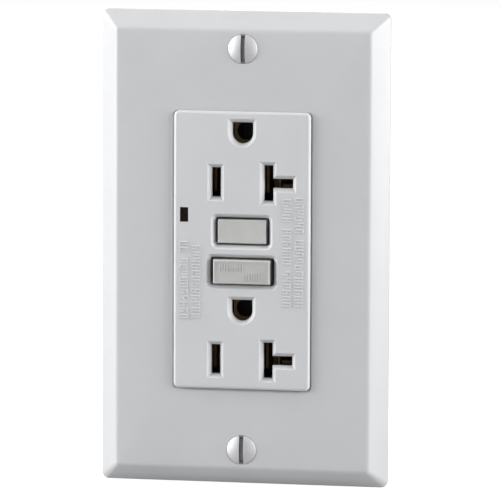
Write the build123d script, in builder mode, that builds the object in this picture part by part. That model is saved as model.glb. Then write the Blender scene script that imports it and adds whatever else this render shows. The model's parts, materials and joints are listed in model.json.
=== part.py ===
from build123d import *
import math
import os

# A ground-fault duplex receptacle for 20 A circuits, with its one-gang wall plate.
# X runs to the right, Y runs into the wall and Z runs up.
# The origin is the middle of the wall plate's back rim, on the surface of the wall.

# Wall plate
plate_w = 69.85
plate_h = 114.3
plate_rim = 1.0
plate_depth = 5.3
plate_bevel = 4.2
plate_corner = 1.6
plate_wall = 1.9
plate_screw_z = 48.42
opening_collar = 1.5
opening_gap = 0.12
opening_drop = 0.08
opening_edge = 0.4

# Face of the receptacle
face_w = 33.1
face_h = 67.1
face_y = -6.3
face_corner = 1.3
face_wall = 1.8
front_wall = 2.2
flange_w = 41.8
flange_h = 68.8
flange_front = 1.8
split_y = 4.0

# Outlets: blade slots, ground holes and their lead-in chamfers
outlet_z = (16.4, -26.4)
blade_x = 6.35
ground_rise = 11.9
lead_in = 0.9
lead_in_depth = 1.2
hot_slot = (2.15, 7.1)
neutral_slot = (2.2, 8.6)
neutral_arm = (5.9, 2.25)
ground_r = 2.52
ground_flat = 2.6

# Buttons and indicator
test_z = 4.65
test_cap = (11.7, 5.75)
test_hole = (13.1, 6.7)
test_front = -6.0
reset_z = -5.05
reset_cap = (13.7, 5.8)
reset_hole = (15.6, 6.7)
reset_front = -6.7
reset_travel = 2.0
button_edge = 0.35
panel_depth = 0.12
panel_rim = 0.6
collar_end = -1.6
led_x = -14.0
led_z = 8.5
led_window = (2.05, 3.55)

# Mounting strap
strap_t = 1.3
strap_l = 106.4
strap_w = 28.8
neck_w = 21.0
ear_w = 33.0
ear_inner_z = 40.0
box_screw_z = 41.67
device_screw_r = 1.72
neck_relief = 0.3
screw_fit = 0.05

# Body behind the wall
body_back = 27.0
body_w = 41.6
body_h = 68.4
body_wall = 1.8
post_x = 17.0
post_z = 29.6
post_r = 2.6
long_screw_r = 1.2

# Side terminals: one hot pair on the left and one neutral pair on the right
terminal_z = 20.0
terminal_y = 16.8
bar_x = 15.4
bar_t = 0.8
recess_h = 12.0
recess_y = (11.8, 22.0)
recess_wall = 1.2
binding_r = 2.0
binding_head_r = 4.1
clamp_t = 1.2

# Contact plane and mechanism
web_y = 7.8
web_t = 0.6
grip_front = 2.4
floor_y = (9.0, 10.4)
fixed_y = 10.6
arm_y = 12.4
arm_t = 0.4
conductor_z = -21.0
contact_x = 6.5
contact_z = 2.0
contact_r = 1.5
lifter_z = -5.05
board_y = 22.7
board_t = 1.6
board_half_w = 13.8
board_half_h = 30.3

SIDES = {"hot": -1, "neutral": 1}
made = {}


def at_depth(y):
    """A plane facing the room, y behind the wall's surface, with its own y axis up."""
    return Plane.XZ.offset(-y)


def at_side(x):
    """A plane across the body at x: its x axis runs into the wall and its y axis up."""
    return Plane.YZ.offset(x)


def keep(name, part):
    """Label a finished piece and remember it under its own name."""
    part.label = name
    made[name] = part


os.makedirs("parts", exist_ok=True)


# ---------------------------------------------------------------- wall plate

opening_w = face_w + 2 * opening_gap
opening_h = face_h + 2 * opening_gap
opening_corner = face_corner + opening_gap
boss_r = 2.95

with BuildPart() as wall_plate:
    with BuildSketch(at_depth(0)):
        RectangleRounded(plate_w, plate_h, plate_corner)
    extrude(amount=plate_rim)
    with BuildSketch(at_depth(-plate_rim)):
        RectangleRounded(plate_w, plate_h, plate_corner)
    with BuildSketch(at_depth(-plate_depth)):
        RectangleRounded(plate_w - 2 * plate_bevel, plate_h - 2 * plate_bevel, plate_corner / 2)
    loft()
    front_rim = wall_plate.faces().sort_by(Axis.Y)[0].edges()
    fillet(front_rim, radius=1.6)
    with BuildSketch(at_depth(0)):
        RectangleRounded(plate_w - 2 * plate_wall, plate_h - 2 * plate_wall, plate_corner)
    with BuildSketch(at_depth(-(plate_depth - plate_wall))):
        inner = 2 * (plate_bevel + plate_wall * 0.75)
        RectangleRounded(plate_w - inner, plate_h - inner, plate_corner / 2)
    loft(mode=Mode.SUBTRACT)
    # collar round the opening and the two screw bosses that stop on the strap
    with BuildSketch(at_depth(-strap_t - screw_fit)):
        RectangleRounded(opening_w + 2 * opening_collar, opening_h + 2 * opening_collar,
                         opening_corner + opening_collar)
        with Locations((0, plate_screw_z), (0, -plate_screw_z)):
            Circle(boss_r)
    extrude(amount=plate_depth - plate_wall - strap_t)
    # the plate hangs on its screws, so the opening sits a little low round the face
    with BuildSketch(at_depth(0)):
        with Locations((0, -opening_drop)):
            RectangleRounded(opening_w, opening_h, opening_corner)
    extrude(amount=plate_depth + 1, mode=Mode.SUBTRACT)
    # its front edge slopes at the sides and the bottom, and is square along the top
    with BuildSketch(at_depth(opening_edge - plate_depth)):
        with Locations((0, -opening_drop)):
            RectangleRounded(opening_w, opening_h, opening_corner)
    with BuildSketch(at_depth(-plate_depth)):
        with Locations((0, -opening_drop - opening_edge / 2)):
            RectangleRounded(opening_w + 2 * opening_edge, opening_h + opening_edge,
                             opening_corner + opening_edge / 2)
    loft(mode=Mode.SUBTRACT)
    with Locations(at_depth(-plate_depth)):
        with Locations((0, plate_screw_z), (0, -plate_screw_z)):
            CounterSinkHole(radius=1.95, counter_sink_radius=3.65, counter_sink_angle=82)
keep("wall_plate", wall_plate.part)


def slotted_screw(x, z, seat_y, head_r, shank_r, length, crown, slot_w, slot_turn):
    """An oval-head screw whose cone sits in a countersink at seat_y, with a turned slot."""
    cone = (head_r - shank_r) / math.tan(math.radians(41))
    profile_plane = Plane((x, seat_y, z), x_dir=(1, 0, 0), z_dir=(0, 0, 1))
    with BuildPart() as screw:
        with BuildSketch(profile_plane):
            with BuildLine():
                Polyline((0, -crown), (0, length), (shank_r - 0.4, length), (shank_r, length - 0.6),
                         (shank_r, cone), (head_r, 0.05), (head_r, 0))
                ThreePointArc((head_r, 0), (head_r * 0.55, -crown * 0.72), (0, -crown))
            make_face()
        revolve(axis=Axis((x, seat_y, z), (0, 1, 0)))
        slot_plane = Plane((x, seat_y - crown - 0.1, z), x_dir=(1, 0, 0), z_dir=(0, -1, 0))
        with BuildSketch(slot_plane.rotated((0, 0, -slot_turn))):
            Rectangle(slot_w, 2 * head_r + 1)
        extrude(amount=-(crown + 0.75), mode=Mode.SUBTRACT)
    return screw.part


oval_head_r = 3.55
oval_crown = 0.85
oval_slot_w = 1.05
plate_screw_l = 12.7
oval_screws = []
for z, slot_turn in ((plate_screw_z, 3), (-plate_screw_z, 0)):
    oval_screws.append(slotted_screw(0, z, -plate_depth, oval_head_r, device_screw_r, plate_screw_l,
                                     oval_crown, oval_slot_w, slot_turn))
keep("plate_screws", Compound(children=oval_screws))


# ---------------------------------------------------------------- front cover

cavity_w = face_w - 2 * face_wall
cavity_h = face_h - 2 * face_wall
cavity_y = face_y + front_wall
boss_places = [(sx * post_x, sz * post_z) for sx in (-1, 1) for sz in (-1, 1)]


def ground_outline(z):
    """The U of a ground pin, round below and flat above, drawn flat with its centre at (0, z)."""
    with BuildSketch(Plane.XY) as outline:
        with BuildLine():
            Polyline((-ground_r, z), (-ground_r, z + ground_flat),
                     (ground_r, z + ground_flat), (ground_r, z))
            ThreePointArc((ground_r, z), (0, z - ground_r), (-ground_r, z))
        make_face()
    return outline.sketch_local


with BuildPart() as front_cover:
    with BuildSketch(at_depth(0)):
        RectangleRounded(face_w, face_h, face_corner)
    extrude(amount=-face_y)
    face_edges = front_cover.faces().sort_by(Axis.Y)[0].edges()
    fillet(face_edges, radius=0.8)
    with BuildSketch(at_depth(split_y)):
        RectangleRounded(flange_w, flange_h, 2.0)
    extrude(amount=split_y)
    # hollow it in two steps: the face block, then the wider skirt
    with BuildSketch(at_depth(flange_front)):
        Rectangle(cavity_w, cavity_h)
    extrude(amount=flange_front - cavity_y, mode=Mode.SUBTRACT)
    with BuildSketch(at_depth(split_y)):
        Rectangle(flange_w - 2 * body_wall, flange_h - 2 * body_wall)
    extrude(amount=split_y - flange_front, mode=Mode.SUBTRACT)
    # bosses for the four long screws
    with BuildSketch(at_depth(split_y)):
        with Locations(*boss_places):
            Circle(post_r)
    extrude(amount=split_y - flange_front)
    with BuildSketch(at_depth(split_y)):
        with Locations(*boss_places):
            Circle(long_screw_r + screw_fit)
    extrude(amount=split_y - 0.6, mode=Mode.SUBTRACT)
    # collars that guide the two buttons
    with BuildSketch(at_depth(collar_end)):
        with Locations((0, test_z)):
            Rectangle(test_hole[0] + 1.8, test_hole[1] + 1.8)
        with Locations((0, reset_z)):
            Rectangle(reset_hole[0] + 1.8, reset_hole[1] + 1.8)
    extrude(amount=collar_end - cavity_y)
    # the notches through both end walls, where the strap comes out
    with BuildSketch(at_depth(0)):
        with Locations((0, face_h / 2), (0, -face_h / 2)):
            Rectangle(neck_w + 0.4, 2 * face_wall + 1)
    extrude(amount=strap_t + screw_fit, mode=Mode.SUBTRACT)
    # blade slots, ground holes and button apertures, cut from the face inwards
    with BuildSketch(at_depth(collar_end + 0.2)):
        for z in outlet_z:
            with Locations((-blade_x, z)):
                Rectangle(*hot_slot)
            with Locations((blade_x, z)):
                Rectangle(*neutral_slot)
            with Locations((blade_x, z)):
                Rectangle(neutral_arm[0], neutral_arm[1], align=(Align.MIN, Align.CENTER))
            add(ground_outline(z + ground_rise))
        with Locations((0, test_z)):
            RectangleRounded(*test_hole, 0.6)
        with Locations((0, reset_z)):
            RectangleRounded(*reset_hole, 0.6)
    extrude(amount=collar_end + 0.2 - face_y + 1, mode=Mode.SUBTRACT)
    front_face = front_cover.faces().sort_by(Axis.Y)[0]
    mouth_edges = [e for wire in front_face.inner_wires() for e in wire.edges()]
    chamfer(mouth_edges, length=lead_in, length2=lead_in_depth, reference=front_face)
    # indicator window, which also cuts into the side wall behind it
    with BuildSketch(at_depth(flange_front)):
        with Locations((led_x, led_z)):
            Rectangle(*led_window)
    extrude(amount=flange_front - face_y + 1, mode=Mode.SUBTRACT)
keep("front_cover", front_cover.part)


# ---------------------------------------------------------------- buttons

def button(cap, flange, z, front, flange_y, stem):
    """A cap with a retaining flange behind it; stem is (width, height, end y) of its post."""
    with BuildPart() as piece:
        with BuildSketch(at_depth(flange_y)):
            with Locations((0, z)):
                Rectangle(*cap)
        extrude(amount=flange_y - front)
        cap_rim = piece.faces().sort_by(Axis.Y)[0].edges()
        fillet(cap_rim, radius=button_edge)
        with BuildSketch(at_depth(flange_y + 1.0)):
            with Locations((0, z)):
                Rectangle(*flange)
        extrude(amount=1.0)
        with BuildSketch(at_depth(stem[2])):
            with Locations((0, z)):
                Rectangle(stem[0], stem[1])
        extrude(amount=stem[2] - flange_y)
    return piece


pin_r = 1.2
pin_hole_depth = 3.2
reset_flange_y = -0.5
stem_end = 1.4

test_button = button(test_cap, (15.0, 8.0), test_z, test_front, collar_end, (3.0, 0.6, stem_end))
keep("test_button", test_button.part)

reset_body = button(reset_cap, (17.0, 8.0), reset_z, reset_front, reset_flange_y, (5.2, 5.2, 2.0))
with BuildPart() as reset_button:
    add(reset_body.part)
    with BuildSketch(at_depth(2.0)):
        with Locations((0, reset_z)):
            Circle(pin_r + 0.02)
    extrude(amount=pin_hole_depth, mode=Mode.SUBTRACT)
    # a shallow panel inside a raised rim
    with BuildSketch(at_depth(reset_front + panel_depth)):
        with Locations((0, reset_z)):
            RectangleRounded(reset_cap[0] - 2 * panel_rim, reset_cap[1] - 2 * panel_rim, 0.3)
    extrude(amount=panel_depth, mode=Mode.SUBTRACT)
keep("reset_button", reset_button.part)

pin_front = 2.0 - pin_hole_depth + 0.05
pin_tip = 18.0
neck_r = 0.7
latch_y = 14.6
latch_t = 0.6
latch_stroke = 1.4
latch_bite = 0.3
latch_slack = 0.4
neck_y = (latch_y - reset_travel - 0.1, latch_y + latch_t + latch_slack)

with BuildPart() as reset_lock_pin:
    pin_plane = Plane((0, 0, reset_z), x_dir=(1, 0, 0), z_dir=(0, 0, 1))
    with BuildSketch(pin_plane):
        Polygon((0, pin_front), (pin_r, pin_front), (pin_r, neck_y[0]), (neck_r, neck_y[0]),
                (neck_r, neck_y[1]), (pin_r, neck_y[1]), (pin_r, pin_tip - 1.2), (0.35, pin_tip),
                (0, pin_tip), align=None)
    revolve(axis=Axis((0, 0, reset_z), (0, 1, 0)))
keep("reset_lock_pin", reset_lock_pin.part)


def coil_spring(centre, direction, radius, wire_r, length, turns):
    """An open helical spring that starts at centre and runs along direction."""
    pitch = (length - 2 * wire_r) / turns
    start = Vector(*centre) + Vector(*direction) * wire_r
    with BuildPart() as spring:
        with BuildLine() as path:
            Helix(pitch=pitch, height=length - 2 * wire_r, radius=radius, center=start, direction=direction)
        with BuildSketch(Plane(path.line @ 0, z_dir=path.line % 0)):
            Circle(wire_r)
        sweep(is_frenet=True)
    return spring.part


reset_stem_end = 2.0
reset_spring_seat = 8.4
keep("reset_spring", coil_spring((0, reset_stem_end + 0.05, reset_z), (0, 1, 0), 2.0, 0.25,
                                 reset_spring_seat - reset_stem_end - 0.05, 5))


# ---------------------------------------------------------------- mounting strap

rivet_drop = 5.6
strap_windows = [(-blade_x, z, 4.8, 10.6) for z in outlet_z]
strap_windows += [(8.4, z, 9.2, 10.6) for z in outlet_z]
ground_tab_x = -neck_w / 2
ground_tab_z = -38.9
ground_screw_y = 5.2

with BuildPart() as mounting_strap:
    with BuildSketch(at_depth(0)):
        Rectangle(strap_w, 61.0)
        Rectangle(neck_w, strap_l - 4)
        with Locations((0, strap_l / 2 - 6.6), (0, -(strap_l / 2 - 6.6))):
            RectangleRounded(ear_w, 13.2, 2.5)
    extrude(amount=strap_t)
    with BuildSketch(at_depth(0)):
        for x, z, w, h in strap_windows:
            with Locations((x, z)):
                RectangleRounded(w, h, 0.8)
        for z in outlet_z:
            with Locations((0, z + ground_rise)):
                Circle(3.6)
            with Locations((0, z + ground_rise - rivet_drop)):
                Circle(1.15)
        with Locations((0, (test_z + reset_z) / 2)):
            Rectangle(19.0, 19.4)
        with Locations((led_x, led_z)):
            Rectangle(4.0, 6.0)
        with Locations((0, box_screw_z), (0, -box_screw_z)):
            SlotCenterToCenter(2.4, 3.9)
        with Locations((0, plate_screw_z), (0, -plate_screw_z)):
            Circle(device_screw_r + screw_fit)
        # score notches that let an ear snap off
        for sx in (-1, 1):
            for sz in (-1, 1):
                with Locations((sx * neck_w / 2, sz * (ear_inner_z - 0.1))):
                    Circle(0.9)
    extrude(amount=strap_t, mode=Mode.SUBTRACT)
    # the tab for the green ground screw, bent back from the lower neck
    with BuildSketch(at_side(ground_tab_x)):
        with Locations((0, ground_tab_z)):
            Rectangle(ground_screw_y + 4.6, 7.0, align=(Align.MIN, Align.CENTER))
    extrude(amount=strap_t)
    rear_corners = mounting_strap.edges().filter_by(Axis.X).sort_by(Axis.Y)[-2:]
    fillet(rear_corners, radius=1.5)
    with BuildSketch(at_side(ground_tab_x)):
        with Locations((ground_screw_y, ground_tab_z)):
            Circle(binding_r + screw_fit)
    extrude(amount=strap_t, mode=Mode.SUBTRACT)
keep("mounting_strap", mounting_strap.part)


def pan_screw(x, z, seat_y, head_r, head_h, shank_r, length, neck_l):
    """A slotted pan-head screw into the wall from a flat seat, with a thinner neck under its head."""
    with BuildPart() as screw:
        with BuildSketch(at_depth(seat_y)):
            with Locations((x, z)):
                Circle(head_r)
        extrude(amount=head_h)
        fillet(screw.faces().sort_by(Axis.Y)[0].edges(), radius=head_h * 0.55)
        with BuildSketch(at_depth(seat_y + length)):
            with Locations((x, z)):
                Circle(shank_r)
        extrude(amount=length)
        chamfer(screw.faces().sort_by(Axis.Y)[-1].edges(), length=0.5)
        with BuildSketch(at_depth(seat_y + neck_l)):
            with Locations((x, z)):
                Circle(shank_r)
                Circle(shank_r - neck_relief, mode=Mode.SUBTRACT)
        extrude(amount=neck_l, mode=Mode.SUBTRACT)
        with BuildSketch(at_depth(seat_y - head_h)):
            with Locations((x, z)):
                Rectangle(1.1, 2 * head_r)
        extrude(amount=-head_h * 0.55, mode=Mode.SUBTRACT)
    return screw.part


pan_head_r = 3.6
pan_head_h = 1.7
box_screw_l = 25.4
neck_l = strap_t + 0.4
box_screws = []
for sz in (1, -1):
    box_screws.append(pan_screw(0, sz * box_screw_z, -strap_t, pan_head_r, pan_head_h,
                                device_screw_r, box_screw_l, neck_l))
keep("box_mounting_screws", Compound(children=box_screws))

retainer_t = 0.35
retainers = []
for sz in (1, -1):
    with BuildPart() as screw_retainer:
        with BuildSketch(at_depth(retainer_t)):
            with Locations((0, sz * box_screw_z)):
                RectangleRounded(9.0, 9.0, 1.0)
                Circle(device_screw_r - neck_relief + screw_fit, mode=Mode.SUBTRACT)
        extrude(amount=retainer_t)
    retainers.append(screw_retainer.part)
keep("screw_retainers", Compound(children=retainers))


# ---------------------------------------------------------------- ground contacts

clip_t = 0.6
clip_gap = 2.25

for name, z in zip(("upper", "lower"), outlet_z):
    pin_z = z + ground_rise
    with BuildPart() as ground_contact:
        # base on the back of the strap, with a round way through for the pin
        with BuildSketch(at_depth(clip_t)):
            with Locations((0, pin_z - 2.4)):
                Rectangle(2 * (clip_gap + clip_t), 10.6)
            with Locations((0, pin_z)):
                Circle(clip_gap, mode=Mode.SUBTRACT)
            with Locations((0, pin_z - rivet_drop)):
                Circle(1.15, mode=Mode.SUBTRACT)
        extrude(amount=clip_t)
        # two spring leaves that grip the pin, pinched together near their ends
        for side in (-1, 1):
            with BuildSketch(Plane.XY.offset(pin_z - 2.2)):
                Polygon((side * clip_gap, 0.1), (side * (clip_gap + clip_t), 0.1),
                        (side * (clip_gap + clip_t), 4.0), (side * (clip_gap + clip_t - 0.3), 6.2),
                        (side * (clip_gap + clip_t), 7.6), (side * clip_gap, 7.6),
                        (side * (clip_gap - 0.3), 6.2), (side * clip_gap, 4.0), align=None)
            extrude(amount=4.4)
    keep("ground_contact_" + name, ground_contact.part)

rivets = []
for z in outlet_z:
    rivet_place = (0, 0, z + ground_rise - rivet_drop)
    with BuildPart() as rivet:
        with BuildSketch(Plane(rivet_place)):
            Polygon((0, -strap_t - 0.5), (1.4, -strap_t - 0.5), (1.8, -strap_t), (1.1, -strap_t),
                    (1.1, clip_t), (1.8, clip_t), (1.5, clip_t + 0.5), (0, clip_t + 0.5), align=None)
        revolve(axis=Axis(rivet_place, (0, 1, 0)))
    rivets.append(rivet.part)
keep("ground_contact_rivets", Compound(children=rivets))


# ---------------------------------------------------------------- binding screws and clamps

def binding_screw(side, seat_x, y, z, length, hexagonal):
    """A terminal screw along X: side is -1 for the left, and seat_x is where its head rests."""
    head = 2.4
    with BuildPart() as screw:
        with BuildSketch(at_side(side * seat_x)):
            with Locations((y, z)):
                if hexagonal:
                    RegularPolygon(binding_head_r, 6)
                else:
                    Circle(binding_head_r)
        extrude(amount=side * head)
        with BuildSketch(at_side(side * seat_x)):
            with Locations((y, z)):
                Circle(binding_r)
        extrude(amount=-side * length)
        with BuildSketch(at_side(side * (seat_x + head))):
            with Locations((y, z)):
                Rectangle(1.2, 2 * binding_head_r + 1)
                Rectangle(4.6, 1.2)
        extrude(amount=-side * 1.3, mode=Mode.SUBTRACT)
        if not hexagonal:
            outer_rim = screw.edges().filter_by(GeomType.CIRCLE).group_by(Axis.X)[0 if side < 0 else -1]
            chamfer(outer_rim, length=0.3)
    return screw.part


clamp_x = bar_x + bar_t + 0.1
screw_seat_x = clamp_x + clamp_t + 0.05
ends = {"load": 1, "line": -1}

for side_name, side in SIDES.items():
    for end_name, end in ends.items():
        screw = binding_screw(side, screw_seat_x, terminal_y, end * terminal_z, 5.6, False)
        keep(f"{side_name}_{end_name}_screw", screw)
        with BuildPart() as wire_clamp:
            with BuildSketch(at_side(side * clamp_x)):
                with Locations((terminal_y, end * terminal_z)):
                    RectangleRounded(8.8, 10.4, 0.8)
                    Circle(binding_r + screw_fit, mode=Mode.SUBTRACT)
            extrude(amount=side * clamp_t)
            # three shallow grooves on the inner face, which bite the wire
            with BuildSketch(at_side(side * clamp_x)):
                for groove in (-1, 0, 1):
                    with Locations((terminal_y + groove * 2.6, end * terminal_z)):
                        Rectangle(0.6, 10.4)
            extrude(amount=side * 0.3, mode=Mode.SUBTRACT)
        keep(f"{side_name}_{end_name}_clamp", wire_clamp.part)

ground_seat_x = -ground_tab_x + screw_fit
keep("ground_screw", binding_screw(-1, ground_seat_x, ground_screw_y, ground_tab_z, 5.0, True))


# ---------------------------------------------------------------- contacts

grip_half = 0.75
leaf_t = 0.6
load_y = recess_y[0] + 0.4
web_out = 13.4
bar_z = (outlet_z[1], terminal_z + 3.0)


def grip_leaves(across, plane, height):
    """Two facing leaves, flared at the front, either side of across; plane's axes are (across, depth)."""
    with BuildPart() as leaves:
        with BuildSketch(plane):
            for side in (-1, 1):
                inner = across + side * grip_half
                outer = inner + side * leaf_t
                Polygon((inner, web_y + 0.1), (outer, web_y + 0.1),
                        (outer, grip_front + 1.2), (outer + side * 0.4, grip_front),
                        (inner + side * 0.4, grip_front), (inner, grip_front + 1.2), align=None)
        extrude(amount=height)
    return leaves.part


def contact_bus(side):
    """One stamped brass strip: two outlet contacts, the load terminal and a fixed contact arm."""
    web_in = blade_x - grip_half - leaf_t
    with BuildPart() as bus:
        # long bar that joins both outlets, edge on to the front
        with BuildSketch(at_side(side * bar_x)):
            with Locations((web_y + web_t, bar_z[0])):
                Rectangle(3.8, bar_z[1] - bar_z[0], align=(Align.MAX, Align.MIN))
            with Locations((web_y, terminal_z)):
                Rectangle(load_y + 0.2 - web_y, 6.0, align=(Align.MIN, Align.CENTER))
            with Locations((load_y, terminal_z)):
                Rectangle(9.0, 9.6, align=(Align.MIN, Align.CENTER))
            with Locations((web_y, contact_z)):
                Rectangle(fixed_y + web_t - web_y, 4.0, align=(Align.MIN, Align.CENTER))
        extrude(amount=side * bar_t)
        with BuildSketch(at_side(side * bar_x)):
            with Locations((terminal_y, terminal_z)):
                Circle(binding_r + screw_fit)
        extrude(amount=side * bar_t, mode=Mode.SUBTRACT)
        # a web across to each outlet
        with BuildSketch(at_depth(web_y + web_t)):
            for z in outlet_z:
                with Locations((side * (web_in + web_out) / 2, z)):
                    Rectangle(web_out - web_in, 6.4)
                with Locations((side * (web_out + bar_x + bar_t - 0.2) / 2, z + 1.6)):
                    Rectangle(bar_x + bar_t - web_out + 0.2, 3.2)
        extrude(amount=web_t)
        for z in outlet_z:
            add(grip_leaves(side * blade_x, Plane.XY.offset(z - 3.2), 6.4))
            if side > 0:
                # the level pair of leaves, for a 20 A plug's sideways blade
                level_plane = Plane((8.5, 0, 0), x_dir=(0, 0, 1), z_dir=(-1, 0, 0))
                add(grip_leaves(z, level_plane, -3.6))
        # the arm that carries the fixed contact behind the insulating floor
        with BuildSketch(at_depth(fixed_y + web_t)):
            with Locations((side * (contact_x - 2.0 + bar_x + bar_t) / 2, contact_z)):
                Rectangle(bar_x + bar_t - contact_x + 2.0, 4.0)
        extrude(amount=web_t)
    return bus


def contact_tip(x, z, back_y, height):
    """A round silver contact button whose back lies at back_y."""
    with BuildPart() as tip:
        with BuildSketch(at_depth(back_y)):
            with Locations((x, z)):
                Circle(contact_r)
        extrude(amount=height)
    return tip.part


tip_h = (arm_y - fixed_y - web_t) / 2
for side_name, side in SIDES.items():
    bus = contact_bus(side)
    keep(f"{side_name}_load_bus", bus.part)

    # line terminal: a plate in the recess, with a tab that reaches in to the conductor
    with BuildPart() as line_terminal:
        with BuildSketch(at_side(side * bar_x)):
            with Locations((load_y, -terminal_z)):
                Rectangle(9.0, 9.6, align=(Align.MIN, Align.CENTER))
            with Locations((terminal_y, -terminal_z)):
                Circle(binding_r + screw_fit, mode=Mode.SUBTRACT)
        extrude(amount=side * bar_t)
        with BuildSketch(at_depth(20.2)):
            with Locations((side * (11.0 + bar_x + bar_t) / 2, -terminal_z)):
                Rectangle(bar_x + bar_t - 11.0, 4.0)
        extrude(amount=bar_t)
    keep(f"{side_name}_line_terminal", line_terminal.part)

    # conductor: from the terminal tab to the middle, then forward through both transformers
    with BuildPart() as line_conductor:
        with BuildSketch(at_depth(21.1)):
            with Locations((side * 7.0, conductor_z)):
                Rectangle(12.0, 2.0)
        extrude(amount=0.85)
        with BuildSketch(at_depth(21.1)):
            with Locations((side * 1.8, conductor_z)):
                Rectangle(1.6, 2.0)
        extrude(amount=21.1 - arm_y - arm_t)
    keep(f"{side_name}_line_conductor", line_conductor.part)

    # moving arm: a flat spring that runs up past the latch to its contact
    with BuildPart() as moving_arm:
        with BuildSketch(at_depth(arm_y + arm_t)):
            with BuildLine():
                Polyline((side * 0.8, conductor_z - 1.4), (side * 2.8, conductor_z - 1.4),
                         (side * 2.8, -17.0), (side * 8.2, -11.0), (side * 8.2, contact_z + 1.8),
                         (side * 4.8, contact_z + 1.8), (side * 4.8, -10.0), (side * 0.8, -14.5),
                         close=True)
            make_face()
        extrude(amount=arm_t)
    keep(f"{side_name}_moving_arm", moving_arm.part)

    fixed_tip = contact_tip(side * contact_x, contact_z, fixed_y + web_t + tip_h, tip_h)
    moving_tip = contact_tip(side * contact_x, contact_z, arm_y, tip_h)
    keep(f"{side_name}_fixed_contact", fixed_tip)
    keep(f"{side_name}_moving_contact", moving_tip)


# ---------------------------------------------------------------- central body

fit = 0.25
body_in_w = body_w - 2 * body_wall - 2 * fit
body_in_h = body_h - 2 * body_wall - 2 * fit
tray_front = 2.0
land_front = 0.8
corner_cut = 7.0
bar_pocket = (bar_x - 0.15, bar_x + bar_t + 0.15)

with BuildPart() as central_body:
    with BuildSketch(at_depth(floor_y[1])):
        Rectangle(body_in_w, body_in_h)
        with Locations(*[(sx * (post_x + 0.6), sz * (post_z + 0.6)) for sx in (-1, 1) for sz in (-1, 1)]):
            Rectangle(corner_cut, corner_cut, mode=Mode.SUBTRACT)
    extrude(amount=floor_y[1] - tray_front)
    with BuildSketch(at_depth(tray_front)):
        Rectangle(cavity_w - 2 * fit, 56.0)
    extrude(amount=tray_front - land_front)
    # one pocket on each side of each outlet, the button well and the two long bar channels
    with BuildSketch(at_depth(web_y + web_t + 0.1)):
        for z in outlet_z:
            for side in (-1, 1):
                with Locations((side * 9.0, z)):
                    Rectangle(9.4, 9.8)
                with Locations((side * 14.5, z + 1.6)):
                    Rectangle(2.4, 3.6)
            with Locations((0, z + ground_rise - 2.4)):
                Rectangle(7.2, 11.6)
        with Locations((0, (test_z + reset_z) / 2)):
            Rectangle(18.8, 19.6)
        for side in (-1, 1):
            with Locations((side * sum(bar_pocket) / 2, sum(bar_z) / 2)):
                Rectangle(bar_pocket[1] - bar_pocket[0], bar_z[1] - bar_z[0] + 0.4)
    extrude(amount=web_y + web_t + 0.1 - land_front, mode=Mode.SUBTRACT)
    # slots through the floor for the load legs and the fixed contact legs, the pin and the light pipe
    with BuildSketch(at_depth(floor_y[1])):
        for side in (-1, 1):
            with Locations((side * sum(bar_pocket) / 2, terminal_z)):
                Rectangle(bar_pocket[1] - bar_pocket[0], 6.4)
            with Locations((side * sum(bar_pocket) / 2, contact_z)):
                Rectangle(bar_pocket[1] - bar_pocket[0], 4.4)
        with Locations((0, reset_z)):
            Circle(pin_r + 0.2)
        with Locations((led_x + 0.1, led_z)):
            Rectangle(1.9, 3.4)
    extrude(amount=floor_y[1] - land_front, mode=Mode.SUBTRACT)
    # ledge that carries the test spring
    with BuildSketch(at_depth(web_y + web_t + 0.1)):
        with Locations((0, 9.1)):
            Rectangle(4.0, 1.4)
    extrude(amount=web_y + web_t + 0.1 - stem_end - 0.5)
keep("central_body", central_body.part)


# ---------------------------------------------------------------- test circuit

leaf_pivot_z = 8.6
spring_t = 0.35

with BuildPart() as test_contact_spring:
    with BuildSketch(at_depth(stem_end + 0.05 + spring_t)):
        with Locations((0, (leaf_pivot_z + 0.6 + 1.4) / 2)):
            Rectangle(2.6, leaf_pivot_z + 0.6 - 1.4)
    extrude(amount=spring_t)
keep("test_contact_spring", test_contact_spring.part)

with BuildPart() as test_contact_post:
    with BuildSketch(at_depth(web_y + web_t)):
        with Locations((0, 2.2)):
            Circle(0.8)
    extrude(amount=web_y + web_t - 4.4)
keep("test_contact_post", test_contact_post.part)


# ---------------------------------------------------------------- indicator

with BuildPart() as led_lens:
    with BuildSketch(at_depth(-2.0)):
        with Locations((led_x, led_z)):
            Rectangle(led_window[0] - 0.1, led_window[1] - 0.1)
    extrude(amount=-2.0 - face_y - 0.35)
    with BuildSketch(at_depth(10.8)):
        with Locations((led_x + 0.1, led_z)):
            Rectangle(1.6, 3.1)
    extrude(amount=12.8)
keep("led_lens", led_lens.part)

with BuildPart() as led_lamp:
    with BuildSketch(at_depth(16.0)):
        with Locations((led_x + 0.4, led_z)):
            Circle(1.5)
    extrude(amount=4.6)
    fillet(led_lamp.faces().sort_by(Axis.Y)[0].edges(), radius=1.2)
    with BuildSketch(at_depth(16.0)):
        with Locations((led_x + 0.4, led_z)):
            Circle(1.75)
    extrude(amount=0.8)
    with BuildSketch(at_depth(board_y - 0.02)):
        with Locations((led_x - 0.87, led_z), (led_x + 1.67, led_z)):
            Rectangle(0.5, 0.5)
    extrude(amount=board_y - 0.02 - 15.6)
keep("led_lamp", led_lamp.part)


# ---------------------------------------------------------------- latch, lifter and solenoid

lifter_front = arm_y + arm_t + 0.05
lifter_back = 17.0

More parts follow.
